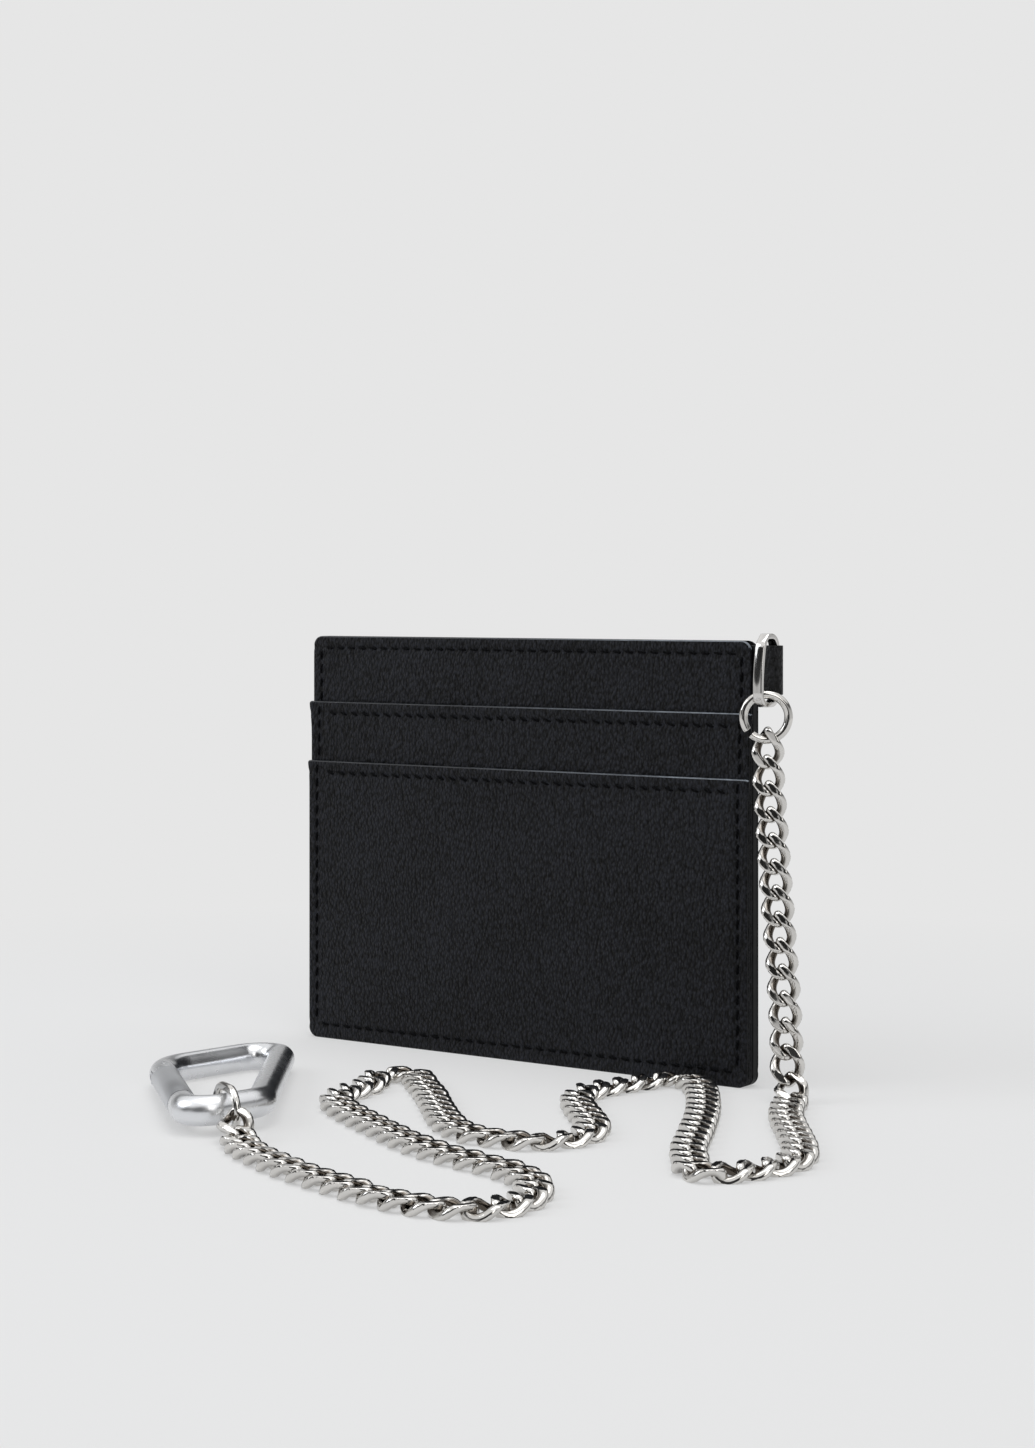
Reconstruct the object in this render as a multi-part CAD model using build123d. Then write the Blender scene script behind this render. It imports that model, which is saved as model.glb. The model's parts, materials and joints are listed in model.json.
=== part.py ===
from build123d import *
import math
import os

# A leather card wallet on a curb chain, standing on its lower edge.
# Frame: +X to the tab side, -Y out of the pocket face, +Z up. The origin is the middle of the lower edge,
# on the middle plane of the open compartment.
# All sizes are in millimetres.

# Wallet body
width = 100.0
height = 80.0
corner_radius = 2.0
leather = 0.75            # outer leather of the panels and pockets
lining = 0.15             # bonded lining of the middle compartment
upper_mouth = 67.0        # height of the upper pocket's mouth
lower_mouth = 55.2        # height of the lower pocket's mouth
welt_width = 3.0          # filler strip round the middle compartment

# Stitching
stitch_length = 1.9
stitch_pitch = 2.7
stitch_width = 0.45
stitch_height = 0.25
side_margin = 2.0
top_margin = 2.3
bottom_margin = 2.8
mouth_margin = 2.3

# Tab and loop
tab_leather = 0.6
tab_height = 8.8
tab_drop = 0.8            # from the wallet's upper edge to the tab's
tab_reach = 5.5           # how far the fold stands out past the wallet's side
tab_seat = 3.4            # length sewn in between the panels
loop_height = 13.1
loop_depth = 6.8
loop_band = 1.6           # band width, across the loop's plane
loop_thickness = 1.0
loop_corner = 2.6
running_gap = 0.06
hang_gap = 0.4            # play of the jump ring on the loop and of the top link on the ring

# Jump ring
ring_wire = 1.5
ring_outer = 9.25
ring_cut = 1.4            # opening between the ring's ends
ring_cut_angle = 222.0
view_turn = 34.0          # turn of the ring's face from the pocket face towards the tab side

# Curb chain
link_wire = 1.45
link_length = 7.6
link_twist = 60.0         # turn of the top link's face out of the ring's face
chain_width = 5.8
chain_thickness = 2.2
ribbon_start = 0.6        # how far the chain's run begins above the top link's lower end
drop_heading = -39.6      # direction in plan that the hanging run leans towards
end_link_length = 11.0
end_link_height = 8.4

# Snap hook
rod = 5.0
spine_corner = 4.6
far_corner = 10.0
near_corner = 6.0
latch_corner = 3.6
pin_set_back = 3.0        # from the far corner's bend to the gate's pin
pin_diameter = 1.4
tongue = 2.0
tongue_shoulder = 0.5     # step from the rod's side to the tongue's
tongue_gap = 0.1
knuckle_gap = 0.25
latch_set_back = 2.9      # from the latch corner's bend to the gate's free end
latch_gap = 0.3
latch_key = 1.6           # thickness of the key on the gate's free end
latch_reach = 1.1
latch_wall = 1.2          # frame left outside the key
spring_radius = 1.7
spring_height = 0.9
link_skew = -27.0         # direction in plan of the end link
link_offset = 1.1         # how far the end link's middle lies outside the near bar's axis
link_share = 0.47         # place of the end link along the near bar
ribbon_stop = 4.8         # from the near bar's axis to the end of the chain's run

tab_bottom = height - tab_drop - tab_height

# Sheets from the middle of the compartment outwards
compartment = 2 * tab_leather
compartment_front = -compartment / 2
compartment_back = compartment / 2
front_lining_face = compartment_front - lining
panel_face = front_lining_face - leather
upper_face = panel_face - leather
front = upper_face - leather
back_panel_face = compartment_back + lining
back_face = back_panel_face + leather


def slab(top, front_y, thickness, cut_top_corners):
    """Upright sheet with rounded lower corners, from y = front_y backwards."""
    with BuildSketch(Plane.XZ) as outline:
        with Locations((0, top / 2)):
            Rectangle(width, top)
        corners = outline.vertices() if cut_top_corners else outline.vertices().group_by(Axis.Z)[0]
        fillet(corners, corner_radius)
    return Pos(0, front_y, 0) * extrude(outline.sketch, -thickness)


def make_welt():
    """U-shaped filler strip that leaves the middle compartment open at its top and at the tab."""
    outer = slab(height, compartment_front, compartment, True)
    room = Pos(0, 0, welt_width + height / 2)
    inner = room * Box(width - 2 * welt_width, 2 * compartment, height)
    tab_room_bottom = tab_bottom - 2 * running_gap
    tab_room = Pos(width / 2, 0, tab_room_bottom + height / 2)
    return outer - inner - tab_room * Box(2 * (tab_seat + welt_width), 2 * compartment, height)


def stitch_box(x, y, z, length, along_x):
    if along_x:
        return Pos(x, y, z) * Box(length, stitch_height, stitch_width)
    return Pos(x, y, z) * Box(stitch_width, stitch_height, length)


def spaced(first, last):
    """Centres of the whole stitches that fit between two ends."""
    count = int((last - first - stitch_length) // stitch_pitch) + 1
    spare = (last - first - stitch_length) - (count - 1) * stitch_pitch
    return [first + spare / 2 + stitch_length / 2 + i * stitch_pitch for i in range(count)]


def stitch_row(ends, z, y):
    return [stitch_box(x, y, z, stitch_length, True) for x in spaced(*ends)]


def side_stitches(z_ends, y):
    x = width / 2 - side_margin
    return [stitch_box(s * x, y, z, stitch_length, False) for z in spaced(*z_ends) for s in (-1, 1)]


def front_stitch_y(face):
    return face - stitch_height / 2


row_ends = (-width / 2 + side_margin + stitch_width, width / 2 - side_margin - stitch_width)


def make_border_stitching_front():
    """Stitches round the pocket face, each on the sheet that is outermost at its height."""
    low = stitch_row(row_ends, bottom_margin, front_stitch_y(front))
    low += side_stitches((bottom_margin + stitch_width, lower_mouth), front_stitch_y(front))
    middle = side_stitches((lower_mouth, upper_mouth), front_stitch_y(upper_face))
    high_ends = (upper_mouth, height - top_margin - stitch_width)
    high = side_stitches(high_ends, front_stitch_y(panel_face))
    high += stitch_row(row_ends, height - top_margin, front_stitch_y(panel_face))
    return Compound(low + middle + high)


def make_border_stitching_back():
    y = back_face + stitch_height / 2
    rows = stitch_row(row_ends, bottom_margin, y) + stitch_row(row_ends, height - top_margin, y)
    sides = side_stitches((bottom_margin + stitch_width, height - top_margin - stitch_width), y)
    return Compound(rows + sides)


def mouth_stitching(mouth, face):
    inset = 2 * stitch_width
    ends = (row_ends[0] + inset, row_ends[1] - inset)
    return Compound(stitch_row(ends, mouth - mouth_margin, front_stitch_y(face)))


# Loop, and the fold of the tab round its back bar
bar_reach = math.hypot(loop_band, loop_thickness) / 2 + running_gap
fold_radius = bar_reach + tab_leather
fold_x = width / 2 + tab_reach - fold_radius
fold_y = 0.0
loop_middle_z = tab_bottom + tab_height / 2
loop_front_y = fold_y + loop_thickness / 2 - loop_depth
loop_middle_y = (loop_front_y + fold_y + loop_thickness / 2) / 2


def make_tab():
    """Strap folded round the loop's back bar, with both ends sewn in between the panels."""
    root_x = width / 2 - tab_seat
    seat = [(root_x, fold_y - tab_leather), (width / 2, fold_y - tab_leather)]
    seat += [(width / 2, fold_y + tab_leather), (root_x, fold_y + tab_leather)]
    with BuildSketch() as outline:
        with BuildLine():
            Polyline(seat + seat[:1])
        make_face()
        with Locations((fold_x, fold_y)):
            Circle(fold_radius)
        with BuildLine():
            Polyline(taper(fold_radius, tab_leather))
        make_face()
        with Locations((fold_x, fold_y)):
            Circle(bar_reach, mode=Mode.SUBTRACT)
    return Pos(0, 0, tab_bottom) * extrude(outline.sketch, tab_height)


def taper(radius, half_root):
    """Closed outline of the tab between the wallet's side and the tangent points on its fold."""
    reach = fold_x - width / 2
    slope = math.asin((radius - half_root) / reach)
    px = fold_x - radius * math.sin(slope)
    py = radius * math.cos(slope)
    points = [(width / 2, fold_y + half_root), (px, fold_y + py), (px, fold_y - py)]
    return points + [(width / 2, fold_y - half_root), (width / 2, fold_y + half_root)]


def make_loop():
    with BuildSketch(Plane.YZ) as band:
        with Locations((loop_middle_y, loop_middle_z)):
            RectangleRounded(loop_depth, loop_height, loop_corner)
            inner_depth = loop_depth - 2 * loop_thickness
            inner_height = loop_height - 2 * loop_thickness
            inner_corner = loop_corner - loop_thickness
            RectangleRounded(inner_depth, inner_height, inner_corner, mode=Mode.SUBTRACT)
    return Pos(fold_x - loop_band / 2, 0, 0) * extrude(band.sketch, loop_band)


# Jump ring, hanging on the loop's lower arc
ring_radius = (ring_outer - ring_wire) / 2
loop_seat_z = loop_middle_z - loop_height / 2 + loop_thickness
ring_z = loop_seat_z + hang_gap + ring_wire / 2 - ring_radius
ring_centre = (fold_x, loop_middle_y, ring_z)
ring_face = Plane(
    origin=ring_centre,
    x_dir=(math.cos(math.radians(view_turn)), math.sin(math.radians(view_turn)), 0),
    z_dir=(math.sin(math.radians(view_turn)), -math.cos(math.radians(view_turn)), 0),
)


def make_jump_ring():
    half_cut = math.degrees(ring_cut / 2 / ring_radius)
    start = ring_cut_angle + half_cut
    with BuildPart() as ring:
        with BuildLine(ring_face) as line:
            CenterArc((0, 0), ring_radius, start, 360 - 2 * half_cut)
        with BuildSketch(Plane(line.line @ 0, z_dir=line.line % 0)):
            Circle(ring_wire / 2)
        sweep()
    return ring.part


def oval_link(plane, length, breadth, wire):
    """Link of round wire with straight sides and round ends, its long side along the plane's X."""
    half = (length - breadth) / 2
    radius = (breadth - wire) / 2
    with BuildPart() as link:
        with BuildLine(plane) as line:
            upper = Line((-half, radius), (half, radius))
            ThreePointArc(upper @ 1, (half + radius, 0), (half, -radius))
            lower = Line((half, -radius), (-half, -radius))
            ThreePointArc(lower @ 1, (-half - radius, 0), upper @ 0)
        with BuildSketch(Plane(line.line @ 0, z_dir=line.line % 0)):
            Circle(wire / 2)
        sweep()
    return link.part


# Chain
link_top_z = ring_z - ring_radius + ring_wire / 2 + link_wire + hang_gap
link_middle_z = link_top_z - link_length / 2
heading = math.radians(drop_heading)
lean = (math.cos(heading), math.sin(heading))


def make_top_link():
    turn = math.radians(view_turn + 90 - link_twist)
    plane = Plane(
        origin=(fold_x, loop_middle_y, link_middle_z),
        x_dir=(0, 0, 1),
        z_dir=(math.cos(turn), math.sin(turn), 0),
    )
    return oval_link(plane, link_length, chain_width, link_wire)


lay_z = chain_thickness / 2
drop_start_z = link_top_z - link_length + ribbon_start
# (distance along the lean, height) of the hanging run
drop_route = [(0.6, drop_start_z), (2.8, 46.0), (5.6, 32.0), (8.2, 20.0), (9.4, 11.5), (9.9, 4.9), (13.7, lay_z)]
drop_end = (18.4, lay_z)
floor_lead = 4.0          # straight on past the hanging run's end
# (x, y) of the run on the floor, after that lead
floor_route = [
    (73.4, -27.0),
    (76.8, -35.4),
    (83.4, -42.4),
    (88.8, -51.0),
    (91.0, -59.8),
    (88.0, -68.2),
    (84.8, -75.2),
    (78.4, -76.8),
    (74.2, -71.0),
    (70.6, -62.2),
    (66.6, -51.2),
    (62.6, -40.4),
    (57.2, -30.6),
    (51.6, -20.8),
    (46.4, -13.6),
    (41.2, -8.4),
    (36.0, -9.6),
    (34.6, -15.0),
    (33.0, -20.4),
    (32.2, -27.4),
    (34.6, -35.4),
    (40.8, -42.0),
    (47.0, -47.6),
    (50.0, -55.8),
    (50.4, -65.6),
    (43.6, -68.2),
    (35.8, -68.6),
    (28.0, -63.6),
    (19.6, -54.6),
    (10.4, -44.2),
    (2.0, -35.8),
    (-5.8, -28.2),
    (-11.0, -33.8),
    (-5.0, -42.4),
    (-4.2, -49.4),
    (-1.6, -57.0),
    (5.0, -62.4),
    (13.2, -67.4),
    (22.0, -72.6),
    (31.0, -78.0),
    (40.6, -82.4),
    (50.6, -84.8),
    (60.4, -86.0),
    (68.0, -91.8),
    (71.4, -100.4),
    (68.6, -108.8),
    (60.4, -112.8),
    (50.6, -111.6),
    (40.6, -108.0),
    (30.4, -104.6),
    (20.2, -100.4),
    (11.6, -95.6),
]


def corner_radii(points):
    """Radius of the arc at each inner point: 0.45 of the shorter run over the tangent of half the turn."""
    radii = []
    for before, here, after in zip(points, points[1:], points[2:]):
        run_in = Vector(*here) - Vector(*before)
        run_out = Vector(*after) - Vector(*here)
        turn = math.radians(run_in.get_angle(run_out))
        radii.append(0.45 * min(run_in.length, run_out.length) / math.tan(turn / 2))
    return radii


def ribbon(points, across, name):
    """Flat run of chain: its outline swept along straight runs joined by tangent arcs."""
    radii = corner_radii(points)
    path = FilletPolyline(*points, radius=radii)
    section = Plane(origin=path @ 0, x_dir=across, z_dir=path % 0) * Rectangle(chain_width, chain_thickness)
    body = sweep(section, path=path)
    share = body.volume / (chain_width * chain_thickness * path.length)
    print(name, "length", round(path.length, 1), "volume share", round(share, 4))
    print(name, "radii", [round(r, 1) for r in radii])
    return body


def lean_point(along, z):
    return (fold_x + lean[0] * along, loop_middle_y + lean[1] * along, z)


def make_chain_drop():
    points = [lean_point(*p) for p in drop_route + [drop_end]]
    return ribbon(points, (-lean[1], lean[0], 0), "chain_drop")


def make_chain_run():
    first = lean_point(*drop_end)
    lead = lean_point(drop_end[0] + floor_lead, lay_z)
    points = [first, lead] + [(x, y, lay_z) for x, y in floor_route] + [chain_end]
    return ribbon(points, (-lean[1], lean[0], 0), "chain_run")


def unit(a, b):
    return (Vector(*b) - Vector(*a)).normalized()


# Snap hook: a rod bent to a tapering four-sided frame that lies on the floor, its near bar on the end link.
# It is built level, with the rod's centre line at z = 0, and then tilted and lifted into place.
spine_far = (-34.4, -29.5)
spine_near = (-0.9, -76.6)
latch_knee = (-4.0, -91.2)
gate_root = (-39.8, -58.1)
bar_z = link_wire + running_gap + rod / 2
bar_run = unit(spine_near, latch_knee)
bar_side = Vector(-bar_run.Y, bar_run.X, 0)
gate_run = unit(gate_root, latch_knee)
bar_point = Vector(*spine_near) + (Vector(*latch_knee) - Vector(*spine_near)) * link_share
hook_reach = abs((Vector(*gate_root) - bar_point).dot(bar_side))
hook_tilt = math.degrees(math.asin((bar_z - rod / 2) / hook_reach))


def bend_length(before, here, after, radius):
    """Distance from a corner to where its arc ends."""
    inside = unit(here, before).get_angle(unit(here, after))
    return radius / math.tan(math.radians(inside / 2))


pin_point = Vector(*gate_root) + gate_run * (
    bend_length(spine_far, gate_root, latch_knee, far_corner) + pin_set_back
)
latch_point = Vector(*latch_knee) - gate_run * (
    bend_length(spine_near, latch_knee, gate_root, latch_corner) + latch_set_back
)
gate_length = (latch_point - pin_point).length
gate_frame = Plane(origin=pin_point, x_dir=gate_run, z_dir=(0, 0, 1))


def place_hook(piece):
    """Tilt a level piece of the hook about its near bar and lift it onto the end link."""
    axis = Axis((bar_point.X, bar_point.Y, 0), (bar_run.X, bar_run.Y, 0))
    return Pos(0, 0, bar_z) * piece.rotate(axis, hook_tilt)


def at_pin(piece):
    return gate_frame.location * piece


def make_frame():
    """Near bar, spine and far bar in one bent rod, forked for the gate and slotted for its key."""
    knuckle = rod / 2
    end = pin_point + gate_run * knuckle
    flat = [tuple(end), (*gate_root, 0), (*spine_far, 0), (*spine_near, 0), (*latch_knee, 0), tuple(latch_point)]
    path = FilletPolyline(*flat, radius=[far_corner, spine_corner, near_corner, latch_corner])
    bent = sweep(Plane(origin=path @ 0, z_dir=path % 0) * Circle(rod / 2), path=path)
    share = bent.volume / (math.pi * rod**2 / 4 * path.length)
    print("carabiner_frame length", round(path.length, 1), "volume share", round(share, 4))
    slot = tongue + 2 * tongue_gap
    nose = Pos(rod, 0, 0) * Box(2 * rod, 2 * rod, 2 * rod) - Cylinder(knuckle, 3 * rod)
    fork = Cylinder(knuckle + knuckle_gap, slot) + Pos(rod, 0, 0) * Box(2 * rod, 2 * rod, slot)
    hole = Cylinder(pin_diameter / 2, 2 * rod)
    key_depth = latch_reach + latch_gap
    key_width = 2 * rod
    key_y = -rod / 2 + latch_wall + key_width / 2
    key_height = latch_key + 2 * tongue_gap
    key_slot = Pos(gate_length + key_depth / 2, key_y, 0) * Box(key_depth, key_width, key_height)
    return place_hook(bent - at_pin(nose) - at_pin(fork) - at_pin(hole) - at_pin(key_slot))


def make_gate():
    """Straight rod with a round tongue on the pin and a flat key at its free end."""
    knuckle = rod / 2
    bar_length = gate_length - latch_gap
    bar = Pos(bar_length / 2, 0, 0) * Rot(0, 90, 0) * Cylinder(knuckle, bar_length)
    bar -= Cylinder(knuckle + knuckle_gap, 3 * rod)
    tongue_width = rod - 2 * tongue_shoulder
    plate = Cylinder(knuckle, tongue) + Pos(knuckle, 0, 0) * Box(rod, tongue_width, tongue)
    plate -= Cylinder(pin_diameter / 2 + running_gap, 2 * rod)
    plate -= Pos(0, 0, -tongue / 2) * Cylinder(spring_radius + tongue_gap, 2 * spring_height)
    key_low = -rod / 2 + latch_wall + latch_gap / 2
    key_high = rod / 2 - latch_wall
    key_middle = (key_low + key_high) / 2
    key_length = latch_reach + 2 * latch_gap
    key_x = gate_length + latch_reach - key_length / 2
    key = Pos(key_x, key_middle, 0) * Box(key_length, key_high - key_low, latch_key)
    return place_hook(at_pin(bar + plate + key))


def make_gate_pin():
    flush = 2 * math.sqrt((rod / 2) ** 2 - (pin_diameter / 2) ** 2)
    return place_hook(at_pin(Cylinder(pin_diameter / 2, flush)))


def make_gate_spring():
    """Coil of the torsion spring that lies round the pin, inside the tongue."""
    coil = Cylinder(spring_radius, spring_height) - Cylinder(pin_diameter / 2, 2 * spring_height)
    return place_hook(at_pin(Pos(0, 0, (spring_height - tongue) / 2) * coil))


link_turn = math.radians(link_skew)
link_run = Vector(math.cos(link_turn), math.sin(link_turn), 0)
link_middle = bar_point + link_run * link_offset
chain_stop = bar_point + link_run * ribbon_stop
chain_end = (chain_stop.X, chain_stop.Y, lay_z)


def make_end_link():
    """Longer link that is closed round the hook's near bar."""
    plane = Plane(
        origin=(link_middle.X, link_middle.Y, end_link_height / 2),
        x_dir=link_run,
        z_dir=(-link_run.Y, link_run.X, 0),
    )
    return oval_link(plane, end_link_length, end_link_height, link_wire)


makers = {
    "back_panel": lambda: slab(height, back_panel_face, leather, True),
    "back_lining": lambda: slab(height, compartment_back, lining, True),
    "front_panel": lambda: slab(height, panel_face, leather, True),
    "front_lining": lambda: slab(height, front_lining_face, lining, True),
    "upper_pocket": lambda: slab(upper_mouth, upper_face, leather, False),
    "lower_pocket": lambda: slab(lower_mouth, front, leather, False),
    "welt": make_welt,
    "border_stitching_front": make_border_stitching_front,
    "border_stitching_back": make_border_stitching_back,
    "upper_mouth_stitching": lambda: mouth_stitching(upper_mouth, upper_face),
    "lower_mouth_stitching": lambda: mouth_stitching(lower_mouth, front),
    "tab": make_tab,
    "loop": make_loop,
    "jump_ring": make_jump_ring,
    "top_link": make_top_link,
    "chain_drop": make_chain_drop,
    "chain_run": make_chain_run,
    "end_link": make_end_link,
    "carabiner_frame": make_frame,
    "carabiner_gate": make_gate,
    "gate_pin": make_gate_pin,
    "gate_spring": make_gate_spring,
}

os.makedirs("parts", exist_ok=True)
for name, make in makers.items():
    export_step(make(), f"parts/{name}.step")

print("loop pivot", round(fold_x, 3), round(fold_y, 3))
print("ring centre", [round(v, 3) for v in ring_centre])
print("drop end", [round(v, 2) for v in lean_point(*drop_end)], "chain end", [round(v, 2) for v in chain_end])
print("near bar point", [round(v, 3) for v in bar_point], round(bar_z, 3), "run", [round(v, 4) for v in bar_run])
print("pin", [round(v, 3) for v in make_gate_pin().center()], "hook tilt", round(hook_tilt, 3))
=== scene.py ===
import json
import math
import bpy
import bmesh
import numpy as np
from mathutils import Matrix, Vector

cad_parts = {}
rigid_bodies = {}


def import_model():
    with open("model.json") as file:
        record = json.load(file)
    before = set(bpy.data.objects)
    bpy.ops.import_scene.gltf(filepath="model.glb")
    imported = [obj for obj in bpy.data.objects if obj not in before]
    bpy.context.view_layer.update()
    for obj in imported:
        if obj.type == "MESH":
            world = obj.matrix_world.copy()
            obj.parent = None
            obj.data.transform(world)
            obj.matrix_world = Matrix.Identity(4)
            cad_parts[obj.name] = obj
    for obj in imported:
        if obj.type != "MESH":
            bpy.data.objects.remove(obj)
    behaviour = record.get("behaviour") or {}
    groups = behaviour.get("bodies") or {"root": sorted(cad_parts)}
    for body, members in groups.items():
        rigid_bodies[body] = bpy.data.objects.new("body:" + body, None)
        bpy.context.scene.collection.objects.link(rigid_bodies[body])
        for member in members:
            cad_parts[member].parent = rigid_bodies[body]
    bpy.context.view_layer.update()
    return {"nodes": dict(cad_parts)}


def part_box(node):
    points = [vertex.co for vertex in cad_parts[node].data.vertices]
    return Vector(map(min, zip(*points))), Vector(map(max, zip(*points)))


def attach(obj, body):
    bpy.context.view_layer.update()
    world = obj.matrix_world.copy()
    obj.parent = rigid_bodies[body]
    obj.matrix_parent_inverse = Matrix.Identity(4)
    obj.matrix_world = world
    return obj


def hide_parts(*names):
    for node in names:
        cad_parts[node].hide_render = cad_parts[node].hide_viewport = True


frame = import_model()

nodes = frame["nodes"]
scene = bpy.context.scene
scene.view_settings.view_transform = "Standard"
mm = 0.001


# helpers for working on one piece at a time

def clearSelection():
    if bpy.context.object and bpy.context.object.mode != "OBJECT":
        bpy.ops.object.mode_set(mode="OBJECT")
    for thing in bpy.context.view_layer.objects:
        thing.select_set(False)
    bpy.context.view_layer.objects.active = None


def activate(piece):
    clearSelection()
    piece.select_set(True)
    bpy.context.view_layer.objects.active = piece


def editPiece(piece):
    activate(piece)
    bpy.ops.object.mode_set(mode="EDIT")


def leaveEdit():
    bpy.ops.object.mode_set(mode="OBJECT")


def selectEdges(piece, wanted):
    bpy.ops.mesh.select_mode(type="EDGE")
    bpy.ops.mesh.select_all(action="DESELECT")
    mesh = bmesh.from_edit_mesh(piece.data)
    for edge in mesh.edges:
        if wanted(edge.verts[0].co, edge.verts[1].co):
            edge.select_set(True)
    bmesh.update_edit_mesh(piece.data)


def selectFaces(piece, wanted):
    bpy.ops.mesh.select_mode(type="FACE")
    bpy.ops.mesh.select_all(action="DESELECT")
    mesh = bmesh.from_edit_mesh(piece.data)
    for face in mesh.faces:
        if wanted(face.calc_center_median(), face.normal):
            face.select_set(True)
    bmesh.update_edit_mesh(piece.data)


def applyPlace(piece):
    activate(piece)
    bpy.ops.object.transform_apply(location=True, rotation=True, scale=True)


def addModifier(piece, kind, **settings):
    activate(piece)
    modifier = piece.modifiers.new(kind.title(), kind)
    for key, value in settings.items():
        setattr(modifier, key, value)
    bpy.ops.object.modifier_apply(modifier=modifier.name)


def smoothShade(piece, angle):
    activate(piece)
    bpy.ops.object.shade_smooth_by_angle(angle=math.radians(angle))


def readPoints(piece):
    points = np.zeros(len(piece.data.vertices) * 3)
    piece.data.vertices.foreach_get("co", points)
    return points.reshape(-1, 3)


def writePoints(piece, points):
    piece.data.vertices.foreach_set("co", points.reshape(-1))
    piece.data.update()


def joinPieces(pieces, name):
    clearSelection()
    for piece in pieces:
        piece.select_set(True)
    bpy.context.view_layer.objects.active = pieces[0]
    bpy.ops.object.join()
    pieces[0].name = pieces[0].data.name = name
    return pieces[0]


def ownCopy(piece, place):
    copy = piece.copy()
    copy.data = piece.data.copy()
    copy.data.transform(place)
    scene.collection.objects.link(copy)
    return copy


def paintNode(node, material):
    nodes[node].data.materials.clear()
    nodes[node].data.materials.append(material)


# helpers for building a material
def newMaterial(name):
    material = bpy.data.materials.new(name)
    material.use_nodes = True
    tree = material.node_tree
    return material, tree, tree.nodes["Principled BSDF"]


def addNode(tree, kind, **settings):
    node = tree.nodes.new(kind)
    for key, value in settings.items():
        if key in node.inputs:
            node.inputs[key].default_value = value
        else:
            setattr(node, key, value)
    return node


def objectCoords(tree, stretch=(1, 1, 1), turn=(0, 0, 0)):
    coords = addNode(tree, "ShaderNodeTexCoord")
    mapping = addNode(tree, "ShaderNodeMapping")
    mapping.inputs["Scale"].default_value = stretch
    mapping.inputs["Rotation"].default_value = turn
    tree.links.new(coords.outputs["Object"], mapping.inputs["Vector"])
    return mapping.outputs["Vector"]


def addRamp(tree, source, stops):
    ramp = addNode(tree, "ShaderNodeValToRGB")
    elements = ramp.color_ramp.elements
    while len(elements) < len(stops):
        elements.new(0.5)
    for element, (place, colour) in zip(elements, stops):
        element.position = place
        element.color = (*colour, 1) if len(colour) == 3 else colour
    tree.links.new(source, ramp.inputs["Fac"])
    return ramp.outputs["Color"]


def mapRange(tree, source, low, high, fromLow=0.0, fromHigh=1.0):
    node = addNode(tree, "ShaderNodeMapRange")
    node.inputs["From Min"].default_value = fromLow
    node.inputs["From Max"].default_value = fromHigh
    node.inputs["To Min"].default_value = low
    node.inputs["To Max"].default_value = high
    tree.links.new(source, node.inputs["Value"])
    return node.outputs["Result"]


def addBump(tree, height, strength, distance, before=None):
    bump = addNode(tree, "ShaderNodeBump")
    bump.inputs["Strength"].default_value = strength
    bump.inputs["Distance"].default_value = distance
    tree.links.new(height, bump.inputs["Height"])
    if before:
        tree.links.new(before, bump.inputs["Normal"])
    return bump.outputs["Normal"]


noiseSpan = (0.3, 0.7)  # the values that a noise texture mostly takes

leatherLook = {
    "dark": (0.0008, 0.0008, 0.0010),
    "light": (0.0178, 0.0192, 0.0250),
    "roughness": (0.38, 0.56),
    "specular": 0.14,
    "pebbleScale": 1850.0,
    "pebbleStretch": (1.0, 1.0, 0.64),
    "pebbleDepth": -0.00034,
    "wrinkleStretch": (2100.0, 2100.0, 1250.0),
    "wrinkleLean": 0.16,
    "wrinkleDepth": 0.00018,
    "cloudScale": 55.0,
    "cloudShare": 0.18,
    "pebbleReach": (0.1, 0.7),  # from a pebble's middle to the valley round it
    "pebbleShade": (-0.09, 0.12),  # how much painted highlight lightens the middle and painted shade darkens the valley
    "toneStops": (0.34, 0.62),
    "sheen": (0.06, 0.45),  # weight, roughness
}
tabLook = {
    **leatherLook,
    "light": (0.0140, 0.0146, 0.017),
    "wrinkleStretch": (420.0, 420.0, 900.0),
    "specular": 0.22,
}


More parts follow.
